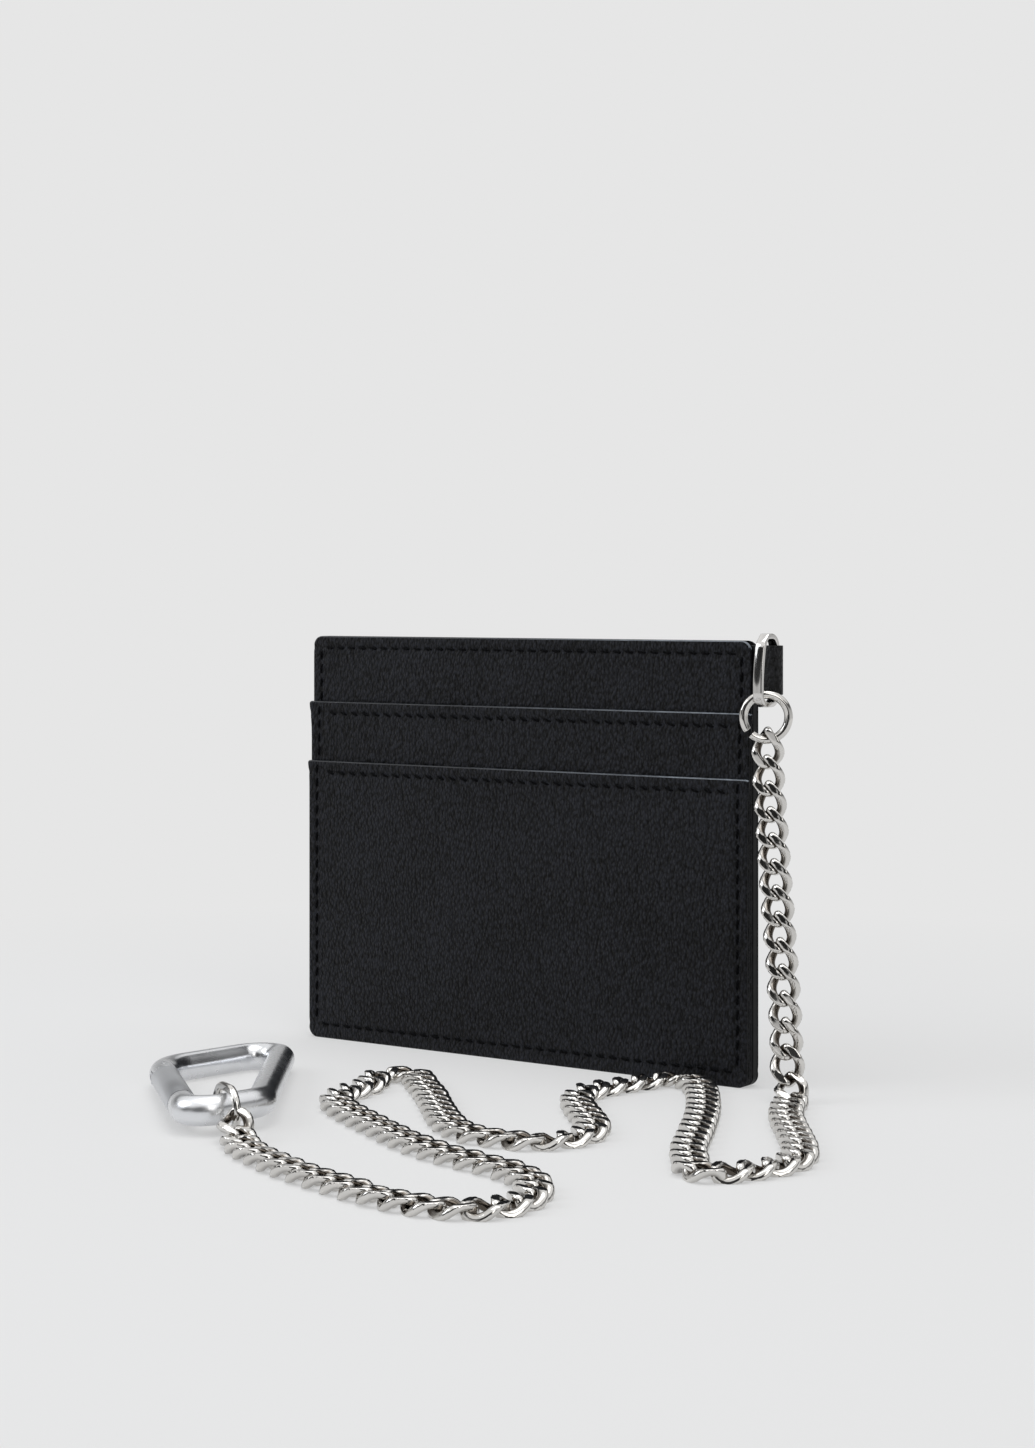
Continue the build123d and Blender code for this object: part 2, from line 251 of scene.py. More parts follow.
def makeLeather(name, look):
    material, tree, shader = newMaterial(name)
    link = tree.links.new
    lean = (0, look["wrinkleLean"], 0)
    pebbles = addNode(tree, "ShaderNodeTexVoronoi", feature="F1", Scale=look["pebbleScale"])
    link(objectCoords(tree, look["pebbleStretch"], lean), pebbles.inputs["Vector"])
    wrinkles = addNode(tree, "ShaderNodeTexNoise", Scale=1.0, Detail=3.0, Roughness=0.55, Distortion=0.6)
    link(objectCoords(tree, look["wrinkleStretch"], lean), wrinkles.inputs["Vector"])
    cloud = addNode(tree, "ShaderNodeTexNoise", Scale=look["cloudScale"], Detail=3.0)
    link(objectCoords(tree), cloud.inputs["Vector"])
    tone = addNode(tree, "ShaderNodeMix", data_type="FLOAT")
    tone.inputs[0].default_value = look["cloudShare"]
    link(wrinkles.outputs["Fac"], tone.inputs[2])
    link(cloud.outputs["Fac"], tone.inputs[3])
    # the colour carries painted highlight on each pebble and painted shade in the valleys round it, on top of the
    # random tone
    toneAndPebbleShade = addNode(tree, "ShaderNodeMath", operation="SUBTRACT")
    link(tone.outputs[0], toneAndPebbleShade.inputs[0])
    valleys = mapRange(tree, pebbles.outputs["Distance"], *look["pebbleShade"], *look["pebbleReach"])
    link(valleys, toneAndPebbleShade.inputs[1])
    darkEnd, lightEnd = look["toneStops"]
    colour = addRamp(tree, toneAndPebbleShade.outputs[0], [(darkEnd, look["dark"]), (lightEnd, look["light"])])
    link(colour, shader.inputs["Base Color"])
    link(mapRange(tree, wrinkles.outputs["Fac"], *look["roughness"], *noiseSpan), shader.inputs["Roughness"])
    shader.inputs["Specular IOR Level"].default_value = look["specular"]
    shader.inputs["Sheen Weight"].default_value, shader.inputs["Sheen Roughness"].default_value = look["sheen"]
    grain = addBump(tree, pebbles.outputs["Distance"], 0.8, look["pebbleDepth"])
    link(addBump(tree, wrinkles.outputs["Fac"], 0.9, look["wrinkleDepth"], grain), shader.inputs["Normal"])
    return material


leather = makeLeather("leatherNappa", leatherLook)
tabLeather = makeLeather("leatherTab", tabLook)

edgeLook = {
    "dark": (0.0022, 0.0024, 0.0030),
    "light": (0.0048, 0.0053, 0.0068),
    "roughness": (0.42, 0.56),
    "specular": 0.12,
    "rippleScale": 420.0,
    "rippleDepth": 0.00008,
}
# the edges of the slot mouths carry a painted highlight: a pale blue-grey colour in place of the light they catch
mouthLook = {
    **edgeLook,
    "dark": (0.10, 0.112, 0.13),
    "light": (0.25, 0.28, 0.32),
    "roughness": (0.3, 0.42),
    "specular": 0.4,
    "plainPaint": (0.016, 0.018, 0.022),  # the edge paint where it has no painted highlight
    "highlightSpan": (-0.012, 0.046),  # from where to where along X the painted highlight comes in, towards the chain
}


def makeEdgePaint(name, look):
    material, tree, shader = newMaterial(name)
    link = tree.links.new
    ripples = addNode(tree, "ShaderNodeTexNoise", Scale=look["rippleScale"], Detail=3.0)
    link(objectCoords(tree), ripples.inputs["Vector"])
    paint = addRamp(tree, ripples.outputs["Fac"], [(0.3, look["dark"]), (0.7, look["light"])])
    # the painted highlight comes in along X, towards the chain; the plain edge paint stays on the far side
    if "highlightSpan" in look:
        split = addNode(tree, "ShaderNodeSeparateXYZ")
        link(objectCoords(tree), split.inputs[0])
        highlighted = addNode(tree, "ShaderNodeMix", data_type="RGBA")
        link(mapRange(tree, split.outputs["X"], 0.0, 1.0, *look["highlightSpan"]), highlighted.inputs[0])
        highlighted.inputs[6].default_value = (*look["plainPaint"], 1)
        link(paint, highlighted.inputs[7])
        paint = highlighted.outputs[2]
    link(paint, shader.inputs["Base Color"])
    link(mapRange(tree, ripples.outputs["Fac"], *look["roughness"], *noiseSpan), shader.inputs["Roughness"])
    shader.inputs["Specular IOR Level"].default_value = look["specular"]
    link(addBump(tree, ripples.outputs["Fac"], 0.5, look["rippleDepth"]), shader.inputs["Normal"])
    return material


edgePaint = makeEdgePaint("edgePaint", edgeLook)
mouthEdgeHighlight = makeEdgePaint("mouthEdgeHighlight", mouthLook)


threadLook = {
    "dark": (0.0006, 0.0006, 0.0008),
    "light": (0.0042, 0.0045, 0.0056),
    "yarnScale": 900.0,
    "yarnWander": 0.6,
    "yarnRun": "DIAGONAL",
    "roughness": 0.5,
    "specular": 0.05,
    "bump": (0.6, 0.00006),  # strength, depth
}
liningLook = {
    "dark": (0.002, 0.0021, 0.0025),
    "light": (0.006, 0.0063, 0.0074),
    "yarnScale": 700.0,
    "yarnWander": 1.2,
    "yarnRun": "X",
    "roughness": 0.8,
    "specular": 0.1,
    "bump": (0.5, 0.00005),
}


def makeYarn(name, look):
    material, tree, shader = newMaterial(name)
    link = tree.links.new
    yarn = addNode(tree, "ShaderNodeTexWave", Scale=look["yarnScale"], Distortion=look["yarnWander"], Detail=2.0,
                   bands_direction=look["yarnRun"])
    link(objectCoords(tree), yarn.inputs["Vector"])
    colour = addRamp(tree, yarn.outputs["Fac"], [(0.1, look["dark"]), (0.9, look["light"])])
    link(colour, shader.inputs["Base Color"])
    shader.inputs["Roughness"].default_value = look["roughness"]
    shader.inputs["Specular IOR Level"].default_value = look["specular"]
    link(addBump(tree, yarn.outputs["Fac"], *look["bump"]), shader.inputs["Normal"])
    return material


thread = makeYarn("threadBlack", threadLook)
lining = makeYarn("liningBlack", liningLook)

metalLooks = {
    "nickelPolished": {"tint": (0.71, 0.695, 0.67), "roughness": (0.055, 0.10), "scratchDepth": 0.000003},
    "nickelSatin": {"tint": (0.72, 0.705, 0.69), "roughness": (0.09, 0.14), "scratchDepth": 0.000008,
                    "stretch": (1, 1, 0.15)},
    "hookSteel": {"tint": (0.80, 0.81, 0.83), "roughness": (0.23, 0.31), "scratchDepth": 0.000006},
    "gateSteel": {"tint": (0.60, 0.615, 0.64), "roughness": (0.27, 0.36), "scratchDepth": 0.000014,
                  "stretch": (0.35, 0.35, 1), "scale": 1500.0},
    # painted shade for the end faces at the latch joint
    "steelPaintedShade": {"tint": (0.055, 0.055, 0.06), "roughness": (0.45, 0.55), "scratchDepth": 0.000006},
}
# wear and cloudy tone of the metal, and the painted shade inside the chain links
metalWearAndShade = {
    "scale": 900.0,
    "cloudScale": 160.0,
    "dimmer": 0.9,  # the tint where the metal is cloudy
    "hollowShade": (0.11, 0.095, 0.08),  # painted shade: the dark tint inside a link
}


def makeMetal(name):
    look = metalLooks[name]
    material, tree, shader = newMaterial(name)
    link = tree.links.new
    shader.inputs["Metallic"].default_value = 1.0
    wear = addNode(tree, "ShaderNodeTexNoise", Scale=look.get("scale", metalWearAndShade["scale"]), Detail=4.0, Roughness=0.6)
    link(objectCoords(tree, look.get("stretch", (1, 1, 1))), wear.inputs["Vector"])
    cloud = addNode(tree, "ShaderNodeTexNoise", Scale=metalWearAndShade["cloudScale"], Detail=2.0)
    link(objectCoords(tree), cloud.inputs["Vector"])
    dim = tuple(c * metalWearAndShade["dimmer"] for c in look["tint"])
    # the link attribute mixes painted shade into the hollows of each chain link
    recessShade = addNode(tree, "ShaderNodeAttribute", attribute_name="recessShade")
    shadedTint = addNode(tree, "ShaderNodeMix", data_type="RGBA")
    link(recessShade.outputs["Fac"], shadedTint.inputs[0])
    link(addRamp(tree, cloud.outputs["Fac"], [(0.35, dim), (0.62, look["tint"])]), shadedTint.inputs[6])
    shadedTint.inputs[7].default_value = (*metalWearAndShade["hollowShade"], 1)
    link(shadedTint.outputs[2], shader.inputs["Base Color"])
    link(mapRange(tree, cloud.outputs["Fac"], *look["roughness"], *noiseSpan), shader.inputs["Roughness"])
    link(addBump(tree, wear.outputs["Fac"], 0.5, look["scratchDepth"]), shader.inputs["Normal"])
    return material


nickelPolished = makeMetal("nickelPolished")
nickelSatin = makeMetal("nickelSatin")
hookSteel = makeMetal("hookSteel")
gateSteel = makeMetal("gateSteel")
steelPaintedShade = makeMetal("steelPaintedShade")
print("materials ready")

viewSettings = {
    "place": (0.27775, -0.41029, 0.08834),
    "turn": 34.242,
    "lens": 64.78,
    "sensor": 36,
    "shiftY": -0.0896,
    "clipStart": 0.01,
}


def makeCamera(settings):
    camera = bpy.data.objects.new("camera", bpy.data.cameras.new("camera"))
    scene.collection.objects.link(camera)
    camera.location = settings["place"]
    camera.rotation_euler = (math.radians(90), 0, math.radians(settings["turn"]))
    camera.data.lens = settings["lens"]
    camera.data.sensor_width = settings["sensor"]
    camera.data.shift_y = settings["shiftY"]
    camera.data.clip_start = settings["clipStart"]
    scene.camera = camera


makeCamera(viewSettings)
print("camera placed")

# one curb link is copied along the run that hangs, reaches the floor and winds to the hook
chainSettings = {
    "dropTop": (0.0539, -0.0029),
    "leanTurn": -39.6,
    "hangTurn": -88.0,  # the way the hanging links face
    "hangFade": (0.004, 0.012),  # height above which they begin to face that way, and over how much
    "linkLength": 0.0077,
    "linkWidth": 0.0060,
    "wire": 0.00158,
    "roundness": 0.97,  # below 1 squares the oval a little
    "sideSwell": 0.12,  # how much thicker the wire is along the link's sides
    "halfThickness": 0.00118,  # where the faces are ground flat
    "shoulder": 10,  # how sharply the wire turns into the ground faces
    "endTwist": -54.0,
    "twistReach": 1.15,  # in half lengths, where the twist stops growing
    "innerShadeFade": (0.15, 0.75),  # painted shade round the wire, from its inner side outwards
    "groundShadeFade": (0.985, 0.12),  # the painted shade fades out below the ground faces
    "pitch": 0.0046,
    "firstLink": 0.0021,  # from the run's start to the first link's middle
    "lastLink": 0.0027,  # from the last link's middle to the run's end
    "aimReach": 0.0022,  # how far before and after its middle a link takes its aim
    "rollSpread": 2.5,
    "wireSides": 12,
    "linkSides": 32,
    "crease": 44,
    "seed": 7,
    # (distance along the lean, height), in millimetres
    "dropRoute": [(0.6, 58.25), (2.8, 46.0), (5.6, 32.0), (8.2, 20.0), (9.4, 11.5), (9.9, 4.6), (12.8, 1.1)],
    # (x, y) on the floor, in millimetres
    "floorRoute": [
        (66.2, -17.8), (69.9, -25.4), (74.2, -32.0), (79.0, -39.0), (83.4, -45.6), (86.6, -51.4), (87.8, -57.0),
        (86.6, -61.2), (84.4, -65.8), (82.2, -70.2), (77.6, -69.6), (74.4, -64.2), (70.4, -58.4), (67.0, -51.2),
        (62.8, -42.2), (57.0, -30.4), (50.4, -19.0), (44.2, -9.8), (38.2, -6.2), (34.8, -10.4), (33.4, -15.4),
        (31.6, -21.2), (30.8, -26.8), (33.8, -34.2), (39.6, -41.2), (45.6, -47.6), (50.0, -53.6), (50.8, -60.2),
        (47.4, -66.2), (41.4, -67.2), (35.0, -67.4), (28.0, -63.4), (19.6, -54.6), (10.6, -44.4), (3.0, -37.0),
        (-3.6, -29.8), (-9.0, -34.4), (-3.8, -42.4), (-3.4, -49.4), (-1.2, -56.8), (5.0, -62.4), (13.2, -67.4),
        (22.0, -72.6), (31.0, -78.0), (40.6, -81.8), (49.6, -83.8), (56.8, -86.0), (62.8, -90.2), (66.8, -96.0),
        (68.4, -102.6), (66.0, -108.8), (59.2, -111.2), (50.2, -110.6), (40.6, -107.8), (30.4, -104.6),
        (20.2, -100.4), (11.4, -95.6),
    ],
    # (x, y, height) where the run climbs to the hook, in millimetres
    "climbRoute": [(5.2, -90.0, 1.2), (2.2, -87.2, 4.3)],
}


def routePoints(settings):
    lean = math.radians(settings["leanTurn"])
    leanX, leanY = math.cos(lean), math.sin(lean)
    topX, topY = settings["dropTop"]
    points = [(topX + leanX * a * mm, topY + leanY * a * mm, z * mm) for a, z in settings["dropRoute"]]
    points += [(x * mm, y * mm, settings["halfThickness"]) for x, y in settings["floorRoute"]]
    return points + [(x * mm, y * mm, z * mm) for x, y, z in settings["climbRoute"]]


def splinePoints(points):
    curve = bpy.data.curves.new("chainRoute", "CURVE")
    curve.dimensions = "3D"
    spline = curve.splines.new("NURBS")
    spline.points.add(len(points) - 1)
    for point, place in zip(spline.points, points):
        point.co = (*place, 1)
    spline.order_u = 3
    spline.use_endpoint_u = True
    curve.resolution_u = 16
    guide = bpy.data.objects.new("chainRoute", curve)
    scene.collection.objects.link(guide)
    bpy.context.view_layer.update()
    sampled = bpy.data.meshes.new_from_object(guide)
    line = np.array([v.co[:] for v in sampled.vertices])
    line = line[np.concatenate([[True], np.linalg.norm(np.diff(line, axis=0), axis=1) > 1e-6])]
    bpy.data.objects.remove(guide)
    return line


def alongLine(line, distances):
    steps = np.linalg.norm(np.diff(line, axis=0), axis=1)
    travelled = np.concatenate([[0], np.cumsum(steps)])
    return np.stack([np.interp(distances, travelled, line[:, i]) for i in range(3)], 1), travelled[-1]


def makeLink(name, settings):
    length, width, wire = settings["linkLength"], settings["linkWidth"], settings["wire"]
    halfThickness, shoulder = settings["halfThickness"], settings["shoulder"]
    major = (width - wire) / 2
    clearSelection()
    bpy.ops.mesh.primitive_torus_add(major_radius=major, minor_radius=wire / 2, major_segments=settings["linkSides"],
                                     minor_segments=settings["wireSides"])
    link = bpy.context.object
    link.name = link.data.name = name
    points = readPoints(link)
    around = np.arctan2(points[:, 1], points[:, 0])
    swell = 1 + settings["sideSwell"] * np.sin(around) ** 2
    outward = (np.hypot(points[:, 0], points[:, 1]) - major) * swell
    halfLong, halfWide = (length - wire) / 2, (width - wire) / 2
    c, s = np.cos(around), np.sin(around)
    middleX = halfLong * np.sign(c) * np.abs(c) ** settings["roundness"]
    middleY = halfWide * np.sign(s) * np.abs(s) ** settings["roundness"]
    normal = np.stack([halfWide * c, halfLong * s], 1)
    normal /= np.linalg.norm(normal, axis=1)[:, None]
    x = middleX + normal[:, 0] * outward
    y = middleY + normal[:, 1] * outward
    z = points[:, 2] * swell
    reach = settings["twistReach"]
    twist = math.radians(settings["endTwist"]) * np.clip(x / halfLong, -reach, reach)
    ty = y * np.cos(twist) - z * np.sin(twist)
    tz = y * np.sin(twist) + z * np.cos(twist)
    tz = tz / (1 + (np.abs(tz) / halfThickness) ** shoulder) ** (1 / shoulder)
    writePoints(link, np.stack([x, ty, tz], 1))
    # painted shade darkens the inner side of the wire; the ground faces and the outer side stay bright
    (shadeFrom, shadeOver), (groundFrom, groundOver) = settings["innerShadeFade"], settings["groundShadeFade"]
    inner = np.clip((-outward / (wire / 2) + shadeFrom) / shadeOver, 0, 1)
    inner = inner * np.clip((groundFrom - np.abs(tz) / halfThickness) / groundOver, 0, 1)
    recessShade = link.data.attributes.new("recessShade", "FLOAT", "POINT")
    recessShade.data.foreach_set("value", inner.astype(np.float32))
    return link


def linkPlace(middle, ahead, faceUp):
    side = faceUp.cross(ahead).normalized()
    up = ahead.cross(side).normalized()
    place = Matrix((ahead, side, up)).transposed().to_4x4()
    place.translation = middle
    return place


def makeChain(settings):
    line = splinePoints(routePoints(settings))
    total = alongLine(line, [0])[1]
    spans = round((total - settings["firstLink"] - settings["lastLink"]) / settings["pitch"])
    places = np.linspace(settings["firstLink"], total - settings["lastLink"], spans + 1)
    middles = alongLine(line, places)[0]
    before = alongLine(line, np.maximum(places - settings["aimReach"], 0))[0]
    after = alongLine(line, np.minimum(places + settings["aimReach"], total))[0]
    link = makeLink("curbLink", settings)
    hang = math.radians(settings["hangTurn"])
    hangWay = Vector((math.cos(hang), math.sin(hang), 0))
    hangFrom, hangOver = settings["hangFade"]
    shake = np.random.default_rng(settings["seed"])
    copies = []
    for middle, back, front in zip(middles, before, after):
        ahead = Vector(front - back).normalized()
        hanging = min(max((middle[2] - hangFrom) / hangOver, 0), 1)
        across = Vector((0, 0, 1)).cross(Vector((ahead.x, ahead.y, 0)).lerp(hangWay, hanging)).normalized()
        faceUp = ahead.cross(across)
        roll = Matrix.Rotation(math.radians(shake.normal(0, settings["rollSpread"])), 4, "X")
        place = linkPlace(Vector(middle), ahead, faceUp) @ roll
        copies.append(ownCopy(link, place))
    bpy.data.objects.remove(link)
    chain = joinPieces(copies, "curbChain")
    points = readPoints(chain)
    points[:, 2] = np.maximum(points[:, 2], 0.00001)  # nothing sinks into what the chain lies on
    writePoints(chain, points)
    smoothShade(chain, settings["crease"])
    print("chain", len(middles), "links on", round(total * 1000, 1), "mm")
    return chain, line, total


chain, chainLine, chainTotal = makeChain(chainSettings)
chain.data.materials.append(nickelPolished)
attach(chain, "loop_and_chain")
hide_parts("chain_drop", "chain_run")

# the jump ring, the link that hangs in it and the long link round the hook's bar
ringSettings = {
    "middle": (0.05384, -0.00294, 0.06652),
    "turn": 34.0,
    "radius": 0.00402,
    "wire": 0.00155,
    "cut": 0.0009,
    "cutAngle": 222.0,
    "endRound": 0.00012,
    "ringSides": 132,
    "wireSides": 24,
    "crease": 50,
}


def makeRing(settings):
    turn = math.radians(settings["turn"])
    right = Vector((math.cos(turn), math.sin(turn), 0))
    facing = Vector((math.sin(turn), -math.cos(turn), 0))
    up = Vector((0, 0, 1))
    middle = Vector(settings["middle"])
    frameTurn = Matrix((right, up, facing)).transposed()
    clearSelection()
    bpy.ops.mesh.primitive_torus_add(major_radius=settings["radius"], minor_radius=settings["wire"] / 2,
                                     major_segments=settings["ringSides"], minor_segments=settings["wireSides"],
                                     location=middle, rotation=frameTurn.to_euler())
    ring = bpy.context.object
    ring.name = ring.data.name = "jumpRing"
    applyPlace(ring)
    editPiece(ring)
    halfCut = settings["cut"] / 2 / settings["radius"]
    cutAngle = math.radians(settings["cutAngle"])

    def angleFromCut(point):
        angle = math.atan2((point - middle).dot(up), (point - middle).dot(right)) - cutAngle
        return abs((angle + math.pi) % (2 * math.pi) - math.pi)

    selectFaces(ring, lambda centre, normal: angleFromCut(centre) < halfCut)
    bpy.ops.mesh.delete(type="FACE")
    bpy.ops.mesh.select_mode(type="EDGE")
    bpy.ops.mesh.select_all(action="SELECT")
    bpy.ops.mesh.fill_holes(sides=0)
    mesh = bmesh.from_edit_mesh(ring.data)
    for face in mesh.faces:
        face.select_set(False)
    for edge in mesh.edges:
        edge.select_set(any(len(face.verts) > 8 for face in edge.link_faces))
    bmesh.update_edit_mesh(ring.data)
    bpy.ops.mesh.bevel(offset=settings["endRound"], segments=3, affect="EDGES")
    leaveEdit()
    smoothShade(ring, settings["crease"])
    ring.data.materials.append(nickelPolished)
    return ring


ring = makeRing(ringSettings)
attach(ring, "ring")
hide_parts("jump_ring")

topLinkSettings = {
    **chainSettings,
    "middle": (0.0541, -0.0027, 0.06103),
    "turn": -88.0,
    "wireSides": 16,
    "linkSides": 44,
}


def makeTopLink(settings):
    link = makeLink("topLink", settings)
    turn = math.radians(settings["turn"])
    faceUp = Vector((math.cos(turn), math.sin(turn), 0))
    link.data.transform(linkPlace(Vector(settings["middle"]), Vector((0, 0, -1)), faceUp))
    smoothShade(link, settings["crease"])
    link.data.materials.append(nickelPolished)
    return link


topLink = makeTopLink(topLinkSettings)
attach(topLink, "loop_and_chain")
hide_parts("top_link")

endLinkSettings = {
    "barPoint": (-0.00248, -0.08405),
    "skew": -29.0,
    "offset": 0.0011,
    "length": 0.011,
    "height": 0.0084,
    "wire": 0.00145,
    "flat": 0.00058,  # half of the thickness left between the ground sides
    "linkSides": 72,
    "wireSides": 18,
    "crease": 30,
}


def makeEndLink(settings):
    skew = math.radians(settings["skew"])
    ahead = Vector((math.cos(skew), math.sin(skew), 0))
    side = Vector((-ahead.y, ahead.x, 0))
    middle = Vector((*settings["barPoint"], settings["height"] / 2)) + ahead * settings["offset"]
    clearSelection()
    radius = (settings["height"] - settings["wire"]) / 2
    straight = (settings["length"] - settings["height"]) / 2
    bpy.ops.mesh.primitive_torus_add(major_radius=radius, minor_radius=settings["wire"] / 2,
                                     major_segments=settings["linkSides"], minor_segments=settings["wireSides"])
    link = bpy.context.object
    link.name = link.data.name = "endLink"
    points = readPoints(link)
    points[:, 0] += np.where(points[:, 0] > 1e-7, straight, np.where(points[:, 0] < -1e-7, -straight, 0))
    points[:, 2] = np.clip(points[:, 2], -settings["flat"], settings["flat"])
    writePoints(link, points)
    place = Matrix((ahead, Vector((0, 0, 1)), -side)).transposed().to_4x4()
    place.translation = middle
    link.data.transform(place)
    smoothShade(link, settings["crease"])
    link.data.materials.append(nickelPolished)
    return link


endLink = makeEndLink(endLinkSettings)
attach(endLink, "loop_and_chain")
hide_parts("end_link")
print("ring and links ready")

# hook and loop are the CAD solids with their edges eased
loopSettings = {
    "widen": 1.13,
    "lean": 0.0014,  # how far the front side leans back at its top
    "leanFrom": 0.0092,  # below the top, where the lean starts
    "leanCurve": 1.6,
    "band": 0.001,
    "cutStep": 0.0005,
    "cutMargin": 0.0012,
}
easeSettings = {
    "loopRound": 0.00022,
    "hookRound": 0.00014,
    "weld": 0.000004,
    "flat": 0.3,  # degrees below which neighbouring faces become one
    "sharp": 35,  # degrees above which an edge is rounded
    "segments": 3,
    "crease": 30,
}


def leanLoop(piece):
    low, high = readPoints(piece).min(0), readPoints(piece).max(0)
    middle = (low + high) / 2
    editPiece(piece)
    margin = loopSettings["cutMargin"]
    for cut in np.arange(low[2] + margin, high[2] - margin, loopSettings["cutStep"]):
        bpy.ops.mesh.select_all(action="SELECT")
        bpy.ops.mesh.bisect(plane_co=(0, 0, cut), plane_no=(0, 0, 1))
    leaveEdit()
    points = readPoints(piece)
    rise = np.clip((points[:, 2] - high[2]) / loopSettings["leanFrom"] + 1, 0, 1)
    front = np.clip((middle[1] - points[:, 1]) / (middle[1] - low[1] - loopSettings["band"]), 0, 1)
    points[:, 1] += loopSettings["lean"] * rise ** loopSettings["leanCurve"] * front
    points[:, 0] = middle[0] + (points[:, 0] - middle[0]) * loopSettings["widen"]
    writePoints(piece, points)


def easedCopy(name, node, width, material, body, reshape=None):
    piece = bpy.data.objects.new(name, nodes[node].data.copy())
    piece.data.name = name
    scene.collection.objects.link(piece)
    piece.data.materials.clear()
    editPiece(piece)
    bpy.ops.mesh.customdata_custom_splitnormals_clear()
    bpy.ops.mesh.select_all(action="SELECT")
    bpy.ops.mesh.remove_doubles(threshold=easeSettings["weld"])
    bpy.ops.mesh.dissolve_limited(angle_limit=math.radians(easeSettings["flat"]))
    leaveEdit()
    addModifier(piece, "BEVEL", width=width, segments=easeSettings["segments"], limit_method="ANGLE",
                angle_limit=math.radians(easeSettings["sharp"]))
    if reshape:
        reshape(piece)
    smoothShade(piece, easeSettings["crease"])
    piece.data.materials.append(material)
    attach(piece, body)
    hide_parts(node)
    return piece


easedCopy("loopBand", "loop", easeSettings["loopRound"], nickelSatin, "loop_and_chain", leanLoop)
hookFrame = easedCopy("hookFrame", "carabiner_frame", easeSettings["hookRound"], hookSteel, "hook")
hookGate = easedCopy("hookGate", "carabiner_gate", easeSettings["hookRound"], gateSteel, "gate")
paintNode("gate_pin", hookSteel)
paintNode("gate_spring", nickelSatin)

latchSettings = {
    "tip": 0.0004,  # how much of the gate's far end is taken to find the latch
    "keyReach": 0.0013,
    "around": 0.0034,
    "endFacing": 0.4,
}


def paintLatchShade(settings):
    # the faces of the two ends that meet at the latch get painted shade, so the joint shows as a dark line
    pinLow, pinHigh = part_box("gate_pin")
    pin = (pinLow + pinHigh) / 2
    points = readPoints(hookGate)
    away = np.linalg.norm(points - np.array(pin), axis=1)
    keyEnd = Vector(points[away > away.max() - settings["tip"]].mean(0))
    way = (keyEnd - pin).normalized()
    joint = keyEnd - way * settings["keyReach"]
    for piece in (hookFrame, hookGate):
        piece.data.materials.append(steelPaintedShade)
        for face in piece.data.polygons:
            facesJoint = abs(face.normal.dot(way)) > settings["endFacing"]
            if facesJoint and (face.center - joint).length < settings["around"]:
                face.material_index = 1


paintLatchShade(latchSettings)
print("hook and loop ready")

# leather panels and pockets
sheetSettings = {
    "cornerRadius": 0.002,
    "mouthCorner": 0.0005,
    "edgeRound": 0.00034,
    "gridStep": 0.0022,
    "gridEndsX": (0.004, 0.003),  # in from the left and the right side
    "gridEndsZ": (0.0045, 0.004),  # in from the bottom and the top
    "rowCuts": (0.0009, 0.0005, 0.0002),  # on both sides of a stitch row
    "mouthCuts": (0.0008, 0.0035, 0.0048),  # below a slot's mouth
    "waveHeight": 0.00004,
    "waveBorder": 0.012,
    "grooveDepth": 0.00015,
    "grooveWidth": 0.00055,
    "sideGroove": (0.0022, 0.0018),  # in from the bottom and the top
    "sideGrooveFade": (0.0006, 0.0005),
    "mouthGape": 0.00028,
    "gapeFade": 0.0035,
    "gapeBorder": 0.012,
    "sideBulge": {"upper_pocket": (0.00055, 0.0034), "lower_pocket": (0.00035, 0.0024)},  # width, height
    "bulgeBorder": 0.004,
    "sideMargin": 0.0020,
    "topMargin": 0.0023,
    "bottomMargin": 0.0028,
    "mouthMargin": 0.0023,
    "mouthFacing": 0.28,  # faces that look up more than this are a slot's painted edge, which carries the painted highlight
    "edgeFacing": 0.45,  # faces that look forward less than this are cut edges
    "crease": 60,
}
pockets = ("upper_pocket", "lower_pocket")
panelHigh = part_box("front_panel")[1]
halfWidth = panelHigh.x
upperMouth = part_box("upper_pocket")[1].z
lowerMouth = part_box("lower_pocket")[1].z
sideX = halfWidth - sheetSettings["sideMargin"]


def rowsOn(node):
    # heights of the stitch rows that press into a sheet's outer face
    if node == "lower_pocket":
        return [sheetSettings["bottomMargin"], lowerMouth - sheetSettings["mouthMargin"]]
    if node == "upper_pocket":
        return [upperMouth - sheetSettings["mouthMargin"]]
    if node == "front_panel":
        return [panelHigh.z - sheetSettings["topMargin"]]
    return [sheetSettings["bottomMargin"], panelHigh.z - sheetSettings["topMargin"]]


def gentleWave(x, z):
    # slow unevenness shared by every sheet, fading out at the border
    reach = sheetSettings["waveBorder"]
    border = np.clip((halfWidth - np.abs(x)) / reach, 0, 1) * np.clip(z / reach, 0, 1)
    wave = np.sin(x * 95 + 0.6) * np.sin(z * 80 + 1.1) + 0.6 * np.sin(x * 210 + z * 60)
    return sheetSettings["waveHeight"] * wave * border


def grooves(node, x, z):
    depth = np.zeros_like(x)
    width = sheetSettings["grooveWidth"]
    for row in rowsOn(node):
        depth = np.maximum(depth, np.exp(-((z - row) / width) ** 2))
    fromBottom, fromTop = sheetSettings["sideGroove"]
    bottomFade, topFade = sheetSettings["sideGrooveFade"]
    inside = np.clip((z - fromBottom) / bottomFade, 0, 1) * np.clip((panelHigh.z - fromTop - z) / topFade, 0, 1)
    depth = np.maximum(depth, np.exp(-((np.abs(x) - sideX) / width) ** 2) * inside)
    return depth * sheetSettings["grooveDepth"]


